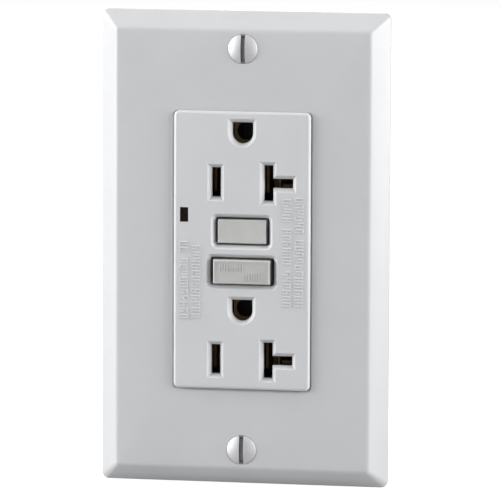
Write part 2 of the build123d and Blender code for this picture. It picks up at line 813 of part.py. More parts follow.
with BuildPart() as contact_lifter:
    with BuildSketch(at_depth(lifter_back)):
        with Locations((0, lifter_z)):
            Rectangle(18.0, 6.4)
    extrude(amount=lifter_back - 13.6)
    # the two ridges that press on the moving arms
    with BuildSketch(at_depth(13.6)):
        for side in (-1, 1):
            with Locations((side * contact_x, lifter_z)):
                Rectangle(3.0, 0.8)
    extrude(amount=13.6 - lifter_front)
    with BuildSketch(at_depth(lifter_back)):
        with Locations((0, lifter_z)):
            Circle(pin_r + 0.1)
    extrude(amount=lifter_back - lifter_front, mode=Mode.SUBTRACT)
    # the guide slot for the latch plate
    with BuildSketch(at_depth(latch_y + latch_t + 0.05)):
        with Locations((0, lifter_z)):
            Rectangle(7.2, 6.6)
    extrude(amount=latch_t + 0.1, mode=Mode.SUBTRACT)
keep("contact_lifter", contact_lifter.part)

with BuildPart() as latch_plate:
    with BuildSketch(at_depth(latch_y + latch_t)):
        with Locations((0, -4.0)):
            Rectangle(7.0, 10.6)
        # the window's lower edge bites behind the pin's head until the plate slides down
        window_low = reset_z - pin_r + latch_bite
        window_high = reset_z + pin_r + latch_stroke + 0.15
        with Locations((0, (window_low + window_high) / 2)):
            Rectangle(2 * pin_r + 0.3, window_high - window_low, mode=Mode.SUBTRACT)
    extrude(amount=latch_t)
    # a tab bent back under the plunger
    with BuildSketch(Plane.XY.offset(1.3 - latch_t)):
        with Locations((0, latch_y)):
            Rectangle(7.0, 4.2, align=(Align.CENTER, Align.MIN))
    extrude(amount=latch_t)
keep("latch_plate", latch_plate.part)

coil_y = 16.6
coil_z = (6.5, 20.0)
bobbin_r = 2.7
plunger_r = 1.95

with BuildPart() as solenoid_bobbin:
    for z in (coil_z[0], coil_z[1] - 1.0):
        with BuildSketch(Plane.XY.offset(z)):
            with Locations((0, coil_y)):
                RectangleRounded(11.6, 11.0, 2.0)
        extrude(amount=1.0)
    with BuildSketch(Plane.XY.offset(coil_z[0])):
        with Locations((0, coil_y)):
            Circle(bobbin_r)
    extrude(amount=coil_z[1] - coil_z[0])
    with BuildSketch(Plane.XY.offset(coil_z[0])):
        with Locations((0, coil_y)):
            Circle(plunger_r + 0.1)
    extrude(amount=coil_z[1] - coil_z[0], mode=Mode.SUBTRACT)
keep("solenoid_bobbin", solenoid_bobbin.part)

with BuildPart() as solenoid_coil:
    with BuildSketch(Plane.XY.offset(coil_z[0] + 1.05)):
        with Locations((0, coil_y)):
            Circle(5.2)
            Circle(bobbin_r + 0.03, mode=Mode.SUBTRACT)
    extrude(amount=coil_z[1] - coil_z[0] - 2.1)
keep("solenoid_coil", solenoid_coil.part)

frame_t = 1.0
frame_half_w = 7.0

with BuildPart() as solenoid_frame:
    with BuildSketch(at_depth(coil_y + 4.0)):
        with Locations((0, sum(coil_z) / 2)):
            Rectangle(2 * frame_half_w, coil_z[1] - coil_z[0] + 2 * frame_t + 0.1)
            Rectangle(2 * (frame_half_w - frame_t), coil_z[1] - coil_z[0] + 0.1, mode=Mode.SUBTRACT)
    extrude(amount=8.0)
    with BuildSketch(Plane.XY.offset(coil_z[0] - 2)):
        with Locations((0, coil_y)):
            Circle(plunger_r + 0.1)
    extrude(amount=coil_z[1] - coil_z[0] + 4, mode=Mode.SUBTRACT)
keep("solenoid_frame", solenoid_frame.part)

plunger_z = (1.4, 25.6)
collar_t = 0.8

with BuildPart() as solenoid_plunger:
    with BuildSketch(Plane.XY.offset(plunger_z[0])):
        with Locations((0, coil_y)):
            Circle(plunger_r)
    extrude(amount=plunger_z[1] - plunger_z[0])
    with BuildSketch(Plane.XY.offset(plunger_z[1] - collar_t)):
        with Locations((0, coil_y)):
            Circle(2.9)
    extrude(amount=collar_t)
    chamfer(solenoid_plunger.faces().sort_by(Axis.Z)[0].edges(), length=0.4)
keep("solenoid_plunger", solenoid_plunger.part)

# the return spring stands on the frame and pushes the plunger's collar up
spring_z = (coil_z[1] + frame_t + 0.1, plunger_z[1] - collar_t - 0.05)
spring_l = spring_z[1] - spring_z[0]
keep("plunger_spring", coil_spring((0, coil_y, spring_z[0]), (0, 0, 1), 2.4, 0.2, spring_l, 4))


# ---------------------------------------------------------------- transformers

core_z = conductor_z
core_inner = 4.4
core_outer = 8.6
winding = 0.6
core_places = {"sensing": 13.8, "grounding": 16.9}

for name, front in core_places.items():
    with BuildPart() as core:
        with BuildSketch(at_depth(front + winding + 1.6)):
            with Locations((0, core_z)):
                Circle(core_outer)
                Circle(core_inner, mode=Mode.SUBTRACT)
        extrude(amount=1.6)
    keep(f"{name}_core", core.part)
    with BuildPart() as coil_winding:
        # an even blanket of wire round the ring, which leaves the core's own space free
        with BuildSketch(at_depth(front + 2 * winding + 1.6)):
            with Locations((0, core_z)):
                Circle(core_outer + winding)
                Circle(core_inner - winding, mode=Mode.SUBTRACT)
        extrude(amount=2 * winding + 1.6)
        with BuildSketch(at_depth(front + winding + 1.62)):
            with Locations((0, core_z)):
                Circle(core_outer + 0.02)
                Circle(core_inner - 0.02, mode=Mode.SUBTRACT)
        extrude(amount=1.64, mode=Mode.SUBTRACT)
    keep(f"{name}_winding", coil_winding.part)


# ---------------------------------------------------------------- circuit board and its parts

wing_half_w = 16.4
wing_half_h = 12.2

with BuildPart() as circuit_board:
    with BuildSketch(at_depth(board_y + board_t)):
        Rectangle(2 * board_half_w, 2 * board_half_h)
        Rectangle(2 * wing_half_w, 2 * wing_half_h)
    extrude(amount=board_t)
keep("circuit_board", circuit_board.part)

chip_x = -10.4
chip_z = -1.0

with BuildPart() as control_chip:
    with BuildSketch(at_depth(board_y - 0.5)):
        with Locations((chip_x, chip_z)):
            Rectangle(6.0, 9.4)
    extrude(amount=2.6)
    with BuildSketch(at_depth(board_y - 0.02)):
        for row in (-1, 1):
            for pin in range(4):
                with Locations((chip_x + row * 3.4, chip_z + (pin - 1.5) * 2.3)):
                    Rectangle(0.8, 0.7)
    extrude(amount=1.8)
keep("control_chip", control_chip.part)

with BuildPart() as thyristor:
    with BuildSketch(at_depth(board_y - 2.5)):
        with Locations((11.6, -4.0)):
            Circle(2.3)
            with Locations((0, -2.9)):
                Rectangle(6.0, 3.0, mode=Mode.SUBTRACT)
    extrude(amount=4.6)
    with BuildSketch(at_depth(board_y - 0.02)):
        for leg in (-1, 0, 1):
            with Locations((11.6 + leg * 1.3, -4.0)):
                Rectangle(0.5, 0.5)
    extrude(amount=2.6)
keep("thyristor", thyristor.part)

with BuildPart() as varistor:
    with BuildSketch(Plane.XY.offset(22.4)):
        with Locations((-8.8, board_y - 6.4)):
            Circle(5.0)
    extrude(amount=4.0)
    fillet(varistor.edges().filter_by(GeomType.CIRCLE), radius=1.2)
    with BuildSketch(at_depth(board_y - 0.02)):
        with Locations((-11.3, 24.4), (-6.3, 24.4)):
            Circle(0.35)
    extrude(amount=3.0)
keep("varistor", varistor.part)

with BuildPart() as film_capacitor:
    with BuildSketch(at_depth(board_y - 0.05)):
        with Locations((8.7, 25.6)):
            RectangleRounded(10.4, 5.0, 0.6)
    extrude(amount=8.4)
    fillet(film_capacitor.faces().sort_by(Axis.Y)[0].edges(), radius=0.5)
keep("film_capacitor", film_capacitor.part)

with BuildPart() as filter_capacitor:
    with BuildSketch(at_depth(board_y - 0.05)):
        with Locations((11.2, 5.2)):
            Circle(2.5)
    extrude(amount=7.0)
    fillet(filter_capacitor.faces().sort_by(Axis.Y)[0].edges(), radius=0.4)
keep("filter_capacitor", filter_capacitor.part)


def axial_part(x, z, body_r, body_l, lift):
    """A leaded part that lies along Z on its bent legs, lift in front of the board."""
    y = board_y - lift
    with BuildPart() as piece:
        with BuildSketch(Plane.XY.offset(z - body_l / 2)):
            with Locations((x, y)):
                Circle(body_r)
        extrude(amount=body_l)
        fillet(piece.edges().filter_by(GeomType.CIRCLE), radius=body_r * 0.4)
        with BuildSketch(Plane.XY.offset(z - body_l / 2 - 1.6)):
            with Locations((x, y)):
                Circle(0.3)
        extrude(amount=body_l + 3.2)
        with BuildSketch(at_depth(board_y - 0.02)):
            with Locations((x, z - body_l / 2 - 1.5), (x, z + body_l / 2 + 1.5)):
                Circle(0.3)
        extrude(amount=lift)
    return piece.part


resistor_places = [(-11.9, -15.0), (11.9, -15.0)]
keep("resistors", Compound(children=[axial_part(x, z, 1.1, 6.0, 1.4) for x, z in resistor_places]))
diode_places = [(x, 15.0) for x in (-12.4, -9.6, 9.6, 12.4)]
keep("rectifier_diodes", Compound(children=[axial_part(x, z, 1.0, 4.6, 1.3) for x, z in diode_places]))


# ---------------------------------------------------------------- rear housing

block_in = bar_x - recess_wall
block_h = recess_h + 2 * recess_wall
wire_x = bar_x + bar_t + 1.0
ledge_y = floor_y[1] + 0.05

with BuildPart() as rear_housing:
    with BuildSketch(at_depth(body_back)):
        RectangleRounded(body_w, body_h, 2.0)
    extrude(amount=body_back - split_y)
    chamfer(rear_housing.faces().sort_by(Axis.Y)[-1].edges(), length=1.4)
    with BuildSketch(at_depth(ledge_y)):
        Rectangle(body_w - 2 * body_wall, body_h - 2 * body_wall)
    extrude(amount=ledge_y - split_y, mode=Mode.SUBTRACT)
    with BuildSketch(at_depth(body_back - body_wall)):
        Rectangle(body_w - 2 * body_wall - 2.4, body_h - 2 * body_wall - 2.4)
    extrude(amount=body_back - body_wall - ledge_y, mode=Mode.SUBTRACT)
    # solid blocks that carry the terminal recesses
    with BuildSketch(at_depth(body_back - body_wall)):
        for side in (-1, 1):
            for end in (-1, 1):
                with Locations((side * (block_in + body_w / 2 - 1) / 2, end * terminal_z)):
                    Rectangle(body_w / 2 - 1 - block_in, block_h)
        with Locations(*boss_places):
            Circle(post_r)
    extrude(amount=body_back - body_wall - ledge_y)
    # front posts for the long screws, standing through the corners of the central body
    with BuildSketch(at_depth(ledge_y)):
        with Locations(*boss_places):
            Circle(post_r)
    extrude(amount=ledge_y - split_y)
    # the recess of each terminal, open at the side of the body
    for side in (-1, 1):
        with BuildSketch(at_side(side * bar_x)):
            for end in (-1, 1):
                with Locations((recess_y[0], end * terminal_z)):
                    Rectangle(recess_y[1] - recess_y[0], recess_h, align=(Align.MIN, Align.CENTER))
        extrude(amount=side * 10, mode=Mode.SUBTRACT)
        # way in for the load leg, way through for the line tab and a tip clearance for each screw
        with BuildSketch(at_depth(recess_y[0] + 0.1)):
            with Locations((side * (bar_x + bar_t / 2), terminal_z)):
                Rectangle(bar_t + 0.3, 6.3)
        extrude(amount=recess_y[0] + 0.1 - ledge_y + 0.1, mode=Mode.SUBTRACT)
        with BuildSketch(at_depth(20.35)):
            with Locations((side * (bar_x + 0.3), -terminal_z)):
                Rectangle(4.0, 4.3)
        extrude(amount=1.1, mode=Mode.SUBTRACT)
        with BuildSketch(at_side(side * (bar_x + 0.5))):
            with Locations((terminal_y, terminal_z), (terminal_y, -terminal_z)):
                Circle(binding_r + 0.3)
        extrude(amount=-side * 3, mode=Mode.SUBTRACT)
        # two wire entries behind each terminal
        with BuildSketch(at_depth(body_back)):
            for end in (-1, 1):
                for row in (-1, 1):
                    with Locations((side * wire_x, end * terminal_z + row * 3.5)):
                        RectangleRounded(2.3, 3.2, 0.9)
        extrude(amount=body_back - recess_y[1] + 0.5, mode=Mode.SUBTRACT)
    # holes and head seats of the long screws
    with BuildSketch(at_depth(body_back)):
        with Locations(*boss_places):
            Circle(long_screw_r + 0.1)
    extrude(amount=body_back - split_y, mode=Mode.SUBTRACT)
    with BuildSketch(at_depth(body_back)):
        with Locations(*boss_places):
            Circle(2.45)
    extrude(amount=2.0, mode=Mode.SUBTRACT)
    # raised pads on the back: a strip gauge bar and a plain label panel
    with BuildSketch(at_depth(body_back + 0.4)):
        RectangleRounded(22.0, 30.0, 1.0)
        with Locations((0, 24.0)):
            RectangleRounded(16.0, 2.4, 0.8)
    extrude(amount=0.4)
keep("rear_housing", rear_housing.part)

long_screws = []
for x, z in boss_places:
    with BuildPart() as long_screw:
        with BuildSketch(at_depth(body_back - 0.2)):
            with Locations((x, z)):
                Circle(2.3)
        extrude(amount=1.7)
        with BuildSketch(at_depth(body_back - 0.2)):
            with Locations((x, z)):
                Circle(long_screw_r)
        extrude(amount=body_back - 0.2 - 1.0)
        with BuildSketch(at_depth(body_back - 0.2)):
            with Locations((x, z)):
                Rectangle(3.0, 0.7)
                Rectangle(0.7, 3.0)
        extrude(amount=0.9, mode=Mode.SUBTRACT)
    long_screws.append(long_screw.part)
keep("assembly_screws", Compound(children=long_screws))

for name, part in made.items():
    part.label = name
    export_step(part, f"parts/{name}.step")
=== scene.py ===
"""Looks of the GFCI receptacle: materials, fine mesh work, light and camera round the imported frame."""
import json
import math
import random

import bpy
import bmesh
from mathutils import Matrix, Vector


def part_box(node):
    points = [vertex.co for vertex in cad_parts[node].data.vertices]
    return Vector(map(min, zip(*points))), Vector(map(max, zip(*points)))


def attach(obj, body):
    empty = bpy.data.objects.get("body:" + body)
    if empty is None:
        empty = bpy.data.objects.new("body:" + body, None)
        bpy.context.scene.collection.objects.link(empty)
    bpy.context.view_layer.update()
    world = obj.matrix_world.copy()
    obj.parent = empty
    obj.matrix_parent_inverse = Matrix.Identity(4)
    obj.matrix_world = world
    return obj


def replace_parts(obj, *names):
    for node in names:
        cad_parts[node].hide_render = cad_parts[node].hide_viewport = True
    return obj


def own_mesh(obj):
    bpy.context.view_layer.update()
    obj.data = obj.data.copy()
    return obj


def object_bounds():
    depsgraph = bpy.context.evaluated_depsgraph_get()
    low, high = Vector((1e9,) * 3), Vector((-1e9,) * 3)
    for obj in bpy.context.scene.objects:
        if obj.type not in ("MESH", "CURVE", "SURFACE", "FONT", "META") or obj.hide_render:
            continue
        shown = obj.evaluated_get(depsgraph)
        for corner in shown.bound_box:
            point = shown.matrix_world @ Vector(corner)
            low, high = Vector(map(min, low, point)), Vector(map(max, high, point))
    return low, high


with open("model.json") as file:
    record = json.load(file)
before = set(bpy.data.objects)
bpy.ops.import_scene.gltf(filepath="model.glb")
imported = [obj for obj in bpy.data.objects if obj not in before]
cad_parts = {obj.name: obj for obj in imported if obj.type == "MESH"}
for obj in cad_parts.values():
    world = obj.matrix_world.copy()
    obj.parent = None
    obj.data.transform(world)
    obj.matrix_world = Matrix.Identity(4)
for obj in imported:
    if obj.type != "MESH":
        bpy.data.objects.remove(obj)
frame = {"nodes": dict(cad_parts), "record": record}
cad_low, cad_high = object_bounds()

MM = 0.001
ROOT = "receptacle"
rng = random.Random(7)
scene = bpy.context.scene


# ---------------------------------------------------------------- materials

def node_tree(name):
    """A new material, its node tree and its Principled surface."""
    material = bpy.data.materials.new(name)
    material.use_nodes = True
    tree = material.node_tree
    shader = next(n for n in tree.nodes if n.type == "BSDF_PRINCIPLED")
    return material, tree, shader


def add_node(tree, kind, values=None, **settings):
    """A node of that kind with its settings, and values for its inputs by name or number."""
    node = tree.nodes.new(kind)
    for key, value in settings.items():
        setattr(node, key, value)
    for key, value in (values or {}).items():
        node.inputs[key].default_value = value
    return node


def surface_noise(tree, size_mm, detail=3.0, stretch=(1, 1, 1), roughness=0.55):
    """Noise in the object's own space whose features are about size_mm across."""
    place = add_node(tree, "ShaderNodeTexCoord")
    scale = add_node(tree, "ShaderNodeMapping", {"Scale": stretch})
    noise = add_node(tree, "ShaderNodeTexNoise",
                     {"Scale": 1 / (size_mm * MM), "Detail": detail, "Roughness": roughness})
    tree.links.new(place.outputs["Object"], scale.inputs["Vector"])
    tree.links.new(scale.outputs["Vector"], noise.inputs["Vector"])
    return noise.outputs["Fac"]


def remap(tree, value, low, high, from_low=0.3, from_high=0.7):
    """value, spread from its usual range to low..high."""
    node = add_node(tree, "ShaderNodeMapRange",
                    {"From Min": from_low, "From Max": from_high, "To Min": low, "To Max": high})
    tree.links.new(value, node.inputs["Value"])
    return node.outputs["Result"]


def mix_colour(tree, factor, first, second, blend="MIX"):
    """first and second are colours or sockets, mixed by factor, which is a number or a socket."""
    node = add_node(tree, "ShaderNodeMix", data_type="RGBA", blend_type=blend)
    for value, socket in ((factor, node.inputs[0]), (first, node.inputs[6]), (second, node.inputs[7])):
        if isinstance(value, bpy.types.NodeSocket):
            tree.links.new(value, socket)
        else:
            socket.default_value = value if isinstance(value, (int, float)) else (*value[:3], 1)
    return node.outputs[2]


def bump(tree, shader, height, depth_mm, strength, before=None):
    """Add relief of depth_mm from a height socket, on top of an earlier normal."""
    node = add_node(tree, "ShaderNodeBump", {"Strength": strength, "Distance": depth_mm * MM})
    tree.links.new(height, node.inputs["Height"])
    if before is not None:
        tree.links.new(before, node.inputs["Normal"])
    tree.links.new(node.outputs["Normal"], shader.inputs["Normal"])
    return node.outputs["Normal"]


def edge_mask(tree, radius_mm):
    """Near 1 along convex edges: how far a rounded normal leans from the true one."""
    rounded = add_node(tree, "ShaderNodeBevel", {"Radius": radius_mm * MM}, samples=4)
    geometry = add_node(tree, "ShaderNodeNewGeometry")
    dot = add_node(tree, "ShaderNodeVectorMath", operation="DOT_PRODUCT")
    tree.links.new(rounded.outputs["Normal"], dot.inputs[0])
    tree.links.new(geometry.outputs["Normal"], dot.inputs[1])
    return remap(tree, dot.outputs["Value"], 1.0, 0.0, 0.75, 0.995)


def moulded_plastic(name, colour, rough, grain_mm=0.18, grain_depth=0.004, mottling=0.012, coat=0.0):
    """Injection-moulded plastic: faint mottling, uneven gloss and a fine spark-eroded grain."""
    material, tree, shader = node_tree(name)
    cloud = surface_noise(tree, 9.0, detail=2.0)
    dark = [c * (1 - mottling) for c in colour]
    light = [min(1.0, c * (1 + mottling)) for c in colour]
    tint = mix_colour(tree, remap(tree, cloud, 0, 1), dark, light)
    tree.links.new(tint, shader.inputs["Base Color"])
    grain = surface_noise(tree, grain_mm, detail=4.0, roughness=0.6)
    smear = surface_noise(tree, 3.5, detail=3.0)
    tree.links.new(remap(tree, smear, rough - 0.03, rough + 0.04), shader.inputs["Roughness"])
    first = bump(tree, shader, smear, grain_depth, 0.2)
    bump(tree, shader, grain, grain_depth, 0.8, before=first)
    shader.inputs["IOR"].default_value = 1.5
    shader.inputs["Coat Weight"].default_value = coat
    shader.inputs["Coat Roughness"].default_value = 0.15
    return material


def metal(name, colour, dull, rough=0.28, brushed=(1, 1, 1), grain_mm=0.25, grain_depth=0.003, stain=0.35,
          painted_shade_mm=0.0):
    """Bare or plated metal: fine grain, patchy tarnish, a painted highlight along its edges and painted
    shade in any crevice.
    """
    material, tree, shader = node_tree(name)
    shader.inputs["Metallic"].default_value = 1.0
    patches = surface_noise(tree, 4.0, detail=5.0, roughness=0.65)
    tarnish = remap(tree, patches, 0, stain, 0.42, 0.68)
    tint = mix_colour(tree, tarnish, colour, dull)
    # painted highlight: the base colour is lighter along convex edges
    painted_edge_highlight = [min(1.0, c * 1.12) for c in colour]
    tint = mix_colour(tree, edge_mask(tree, 0.15), tint, painted_edge_highlight)
    # painted shade: the base colour darkens where ambient occlusion finds a crevice, such as a screw slot or
    # the gap round a screw head
    if painted_shade_mm:
        shade = add_node(tree, "ShaderNodeAmbientOcclusion", {"Distance": painted_shade_mm * MM}, samples=6)
        open_to_air = remap(tree, shade.outputs["AO"], 0, 1, 0.35, 0.95)
        tint = mix_colour(tree, open_to_air, [c * 0.12 for c in dull], tint)
    tree.links.new(tint, shader.inputs["Base Color"])
    grain = surface_noise(tree, grain_mm, detail=5.0, stretch=brushed, roughness=0.7)
    tree.links.new(remap(tree, patches, rough - 0.06, rough + 0.14), shader.inputs["Roughness"])
    bump(tree, shader, grain, grain_depth, 0.7)
    return material


# How many waves a wave texture of scale 1 has in one unit of length.
WAVES_PER_UNIT = 3.18


def layered_wire(name, colour, dark, wire_mm, axis):
    """Enamelled copper wire laid side by side along axis, glossy, with each turn a ridge and painted shade
    in the groove between turns.
    """
    material, tree, shader = node_tree(name)
    place = add_node(tree, "ShaderNodeTexCoord")
    waves = add_node(tree, "ShaderNodeTexWave",
                     {"Scale": 1 / (wire_mm * MM) / WAVES_PER_UNIT, "Distortion": 0.6, "Detail": 2.0,
                      "Detail Scale": 1.5},
                     bands_direction=axis, wave_profile="SIN")
    tree.links.new(place.outputs["Object"], waves.inputs["Vector"])
    # painted shade: the wire colour darkens towards dark in the grooves between turns
    tint = mix_colour(tree, waves.outputs["Fac"], dark, colour)
    tree.links.new(tint, shader.inputs["Base Color"])
    shader.inputs["Metallic"].default_value = 0.75
    shader.inputs["Roughness"].default_value = 0.3
    shader.inputs["Coat Weight"].default_value = 0.5
    bump(tree, shader, waves.outputs["Fac"], wire_mm * 0.4, 0.9)
    return material


def laminate(name):
    """Green solder mask over copper tracks: a rectilinear web of tracks that shows as faint relief."""
    material, tree, shader = node_tree(name)
    place = add_node(tree, "ShaderNodeTexCoord")
    tracks = add_node(tree, "ShaderNodeTexBrick",
                      {"Scale": 1 / (5.5 * MM), "Mortar Size": 0.035, "Mortar Smooth": 0.2,
                       "Brick Width": 0.9, "Row Height": 0.42})
    turn = add_node(tree, "ShaderNodeMapping", {"Rotation": (math.pi / 2, 0, 0)})
    tree.links.new(place.outputs["Object"], turn.inputs["Vector"])
    tree.links.new(turn.outputs["Vector"], tracks.inputs["Vector"])
    mask = mix_colour(tree, tracks.outputs["Fac"], (0.012, 0.11, 0.035), (0.03, 0.22, 0.07))
    weave = surface_noise(tree, 0.6, detail=2.0)
    tint = mix_colour(tree, remap(tree, weave, 0, 0.3), mask, (0.02, 0.16, 0.05))
    tree.links.new(tint, shader.inputs["Base Color"])
    shader.inputs["Roughness"].default_value = 0.28
    shader.inputs["Coat Weight"].default_value = 0.4
    first = bump(tree, shader, tracks.outputs["Fac"], 0.03, 0.8)
    bump(tree, shader, weave, 0.01, 0.4, before=first)
    return material


def pressed_fibre(name):
    """Grey-brown vulcanised fibre board, flecked with short fibres."""
    material, tree, shader = node_tree(name)
    fleck = surface_noise(tree, 0.35, detail=6.0, stretch=(1, 1, 0.25), roughness=0.75)
    tint = mix_colour(tree, remap(tree, fleck, 0, 1), (0.30, 0.21, 0.13), (0.52, 0.40, 0.27))
    tree.links.new(tint, shader.inputs["Base Color"])
    shader.inputs["Roughness"].default_value = 0.85
    bump(tree, shader, fleck, 0.04, 0.8)
    return material


def banded_resistor(name):
    """Buff lacquer with painted value bands round the body."""
    material, tree, shader = node_tree(name)
    place = add_node(tree, "ShaderNodeTexCoord")
    split = add_node(tree, "ShaderNodeSeparateXYZ")
    tree.links.new(place.outputs["Object"], split.inputs["Vector"])
    ramp = add_node(tree, "ShaderNodeValToRGB")
    ramp.color_ramp.interpolation = "CONSTANT"
    buff, bands = (0.55, 0.40, 0.22), [(0.25, (0.35, 0.03, 0.02)), (0.45, (0.02, 0.02, 0.02)),
                                       (0.65, (0.5, 0.14, 0.01)), (0.85, (0.45, 0.32, 0.05))]
    ramp.color_ramp.elements[0].color = (*buff, 1)
    ramp.color_ramp.elements[1].position = 0.99
    ramp.color_ramp.elements[1].color = (*buff, 1)
    for start, colour in bands:
        ramp.color_ramp.elements.new(start).color = (*colour, 1)
        ramp.color_ramp.elements.new(start + 0.08).color = (*buff, 1)
    low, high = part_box("resistors")
    span = remap(tree, split.outputs["Z"], 0, 1, low.z + 1.8 * MM, high.z - 1.8 * MM)
    tree.links.new(span, ramp.inputs["Fac"])
    tree.links.new(ramp.outputs["Color"], shader.inputs["Base Color"])
    shader.inputs["Roughness"].default_value = 0.35
    bump(tree, shader, surface_noise(tree, 0.5), 0.02, 0.5)
    return material


def dark_lens(name):
    """Smoked acrylic: nearly black from outside, glossy, with a trace of depth."""
    material, tree, shader = node_tree(name)
    haze = surface_noise(tree, 1.2, detail=3.0)
    tint = mix_colour(tree, remap(tree, haze, 0, 1), (0.009, 0.006, 0.005), (0.02, 0.012, 0.010))
    tree.links.new(tint, shader.inputs["Base Color"])
    tree.links.new(remap(tree, haze, 0.25, 0.4), shader.inputs["Roughness"])
    shader.inputs["Specular IOR Level"].default_value = 0.08
    bump(tree, shader, haze, 0.004, 0.4)
    return material


PLATE_GREY = (0.545, 0.550, 0.560)
FACE_GREY = (0.585, 0.590, 0.605)
BUTTON_GREY = (0.486, 0.487, 0.478)

materials = {
    "plate_plastic": moulded_plastic("plate_plastic", PLATE_GREY, 0.36, grain_mm=0.3, grain_depth=0.002),
    "face_plastic": moulded_plastic("face_plastic", FACE_GREY, 0.42, grain_mm=0.25, grain_depth=0.003),
    "button_plastic": moulded_plastic("button_plastic", BUTTON_GREY, 0.45, grain_mm=0.35,
                                      grain_depth=0.012, mottling=0.05),
    "tinted_lens": dark_lens("tinted_lens"),
    "lamp_epoxy": moulded_plastic("lamp_epoxy", (0.10, 0.42, 0.08), 0.12, coat=0.6),
    # the screw plating gets painted shade in its slots and round its heads
    "screw_plating": metal("screw_plating", (0.60, 0.60, 0.62), (0.49, 0.49, 0.505), rough=0.56,
                           stain=0.25, painted_shade_mm=1.0),
    "zinc_steel": metal("zinc_steel", (0.50, 0.52, 0.55), (0.36, 0.37, 0.38), rough=0.38,
                        grain_mm=0.4, grain_depth=0.006),
    "spring_steel": metal("spring_steel", (0.55, 0.55, 0.55), (0.3, 0.29, 0.28), rough=0.22),
    # brass_strip is much darker than bare brass: painted shade for the strip seen deep in the ground holes,
    # where little light reaches
    "brass_strip": metal("brass_strip", (0.34, 0.24, 0.13), (0.19, 0.13, 0.07), rough=0.55,
                         brushed=(1, 1, 0.08)),
    "brass_screw": metal("brass_screw", (0.80, 0.60, 0.26), (0.55, 0.38, 0.16), rough=0.25),
    "copper_bar": metal("copper_bar", (0.80, 0.42, 0.26), (0.42, 0.19, 0.11), rough=0.26,
                        brushed=(0.1, 1, 1)),
    "contact_spring": metal("contact_spring", (0.76, 0.47, 0.25), (0.50, 0.27, 0.13), rough=0.24,
                            brushed=(1, 1, 0.08)),
    "contact_silver": metal("contact_silver", (0.88, 0.87, 0.85), (0.6, 0.58, 0.52), rough=0.2),
    "green_screw": metal("green_screw", (0.03, 0.26, 0.09), (0.02, 0.13, 0.05), rough=0.3),
    "washer_board": pressed_fibre("washer_board"),
    "housing_plastic": moulded_plastic("housing_plastic", (0.36, 0.365, 0.372), 0.5, grain_mm=0.5,
                                       grain_depth=0.02, mottling=0.04),
    "inner_plastic": moulded_plastic("inner_plastic", (0.085, 0.083, 0.078), 0.5, grain_mm=0.5,
                                     grain_depth=0.01),
    "coil_wire": layered_wire("coil_wire", (0.62, 0.20, 0.07), (0.22, 0.05, 0.02), 0.22, "Z"),
    "core_ferrite": moulded_plastic("core_ferrite", (0.05, 0.05, 0.055), 0.6, grain_mm=0.2,
                                    grain_depth=0.02),
    "board_laminate": laminate("board_laminate"),
    "black_epoxy": moulded_plastic("black_epoxy", (0.014, 0.014, 0.015), 0.5, grain_mm=0.25,
                                   grain_depth=0.015),
    "varistor_coat": moulded_plastic("varistor_coat", (0.02, 0.07, 0.30), 0.3, grain_mm=0.8,
                                     grain_depth=0.02, coat=0.4),
    "film_box": moulded_plastic("film_box", (0.60, 0.38, 0.03), 0.35, grain_mm=0.5, grain_depth=0.01),
    "capacitor_sleeve": moulded_plastic("capacitor_sleeve", (0.015, 0.02, 0.06), 0.25, coat=0.5),
    "resistor_coat": banded_resistor("resistor_coat"),
}

node_slot = {entry["node"]: entry["material_slot"] for entry in frame["record"]["subparts"]}


# ---------------------------------------------------------------- CAD nodes: finish and edges

# A flat face with at least this many corners is wide and has holes in it.
HOLED_FACE_CORNERS = 25
WELD_GAP = 0.0005 * MM
SHARP = math.radians(28)


def finish_node(name, edge_mm):
    """Give a CAD node its material, clean flat faces, fine rounded edges and smooth shading."""
    piece = frame["nodes"][name]
    mesh = piece.data
    mesh.materials.clear()
    mesh.materials.append(materials[node_slot[name]])
    if "custom_normal" in mesh.attributes:
        mesh.attributes.remove(mesh.attributes["custom_normal"])
    mesh.shade_smooth()
    weld = piece.modifiers.new("weld", "WELD")
    weld.merge_threshold = WELD_GAP
    flat = piece.modifiers.new("flat_faces", "DECIMATE")
    flat.decimate_type = "DISSOLVE"
    flat.angle_limit = math.radians(0.4)
    # faces with holes in them are cut into triangles again, or the bevel would fold them
    split = piece.modifiers.new("split_faces", "TRIANGULATE")
    split.min_vertices = HOLED_FACE_CORNERS
    edges = piece.modifiers.new("edges", "BEVEL")
    edges.width = edge_mm * MM
    edges.segments = 2
    edges.limit_method = "ANGLE"
    edges.angle_limit = SHARP
    edges.harden_normals = True
    edges.use_clamp_overlap = True
    return piece


# How far each node's sharp edges are rounded off.
EDGE_MM = {"wall_plate": 0.1, "front_cover": 0.12, "rear_housing": 0.2, "test_button": 0.1,
           "reset_button": 0.1, "central_body": 0.1, "mounting_strap": 0.12}
SMALL_EDGE_MM = 0.06
for node_name in sorted(frame["nodes"]):
    finish_node(node_name, EDGE_MM.get(node_name, SMALL_EDGE_MM))


# ---------------------------------------------------------------- finer pieces

def add_piece(name, verts, faces, slot_name, body=ROOT, smooth=True):
    """A new mesh that rides on a body and takes its finish from one of the record's slots."""
    mesh = bpy.data.meshes.new(name)
    mesh.from_pydata([tuple(v) for v in verts], [], faces)
    mesh.validate()
    mesh.materials.append(materials[slot_name])
    if smooth:
        mesh.shade_smooth()
    piece = bpy.data.objects.new(name, mesh)
    scene.collection.objects.link(piece)
    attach(piece, body)
    return piece


def grid_faces(rows, columns, first=0, closed=True):
    """Quads between rows of points that each go once round."""
    faces = []
    for i in range(rows - 1):
        for j in range(columns if closed else columns - 1):
            a = first + i * columns + j
            b = first + i * columns + (j + 1) % columns
            faces.append((a, b, b + columns, a + columns))
    return faces


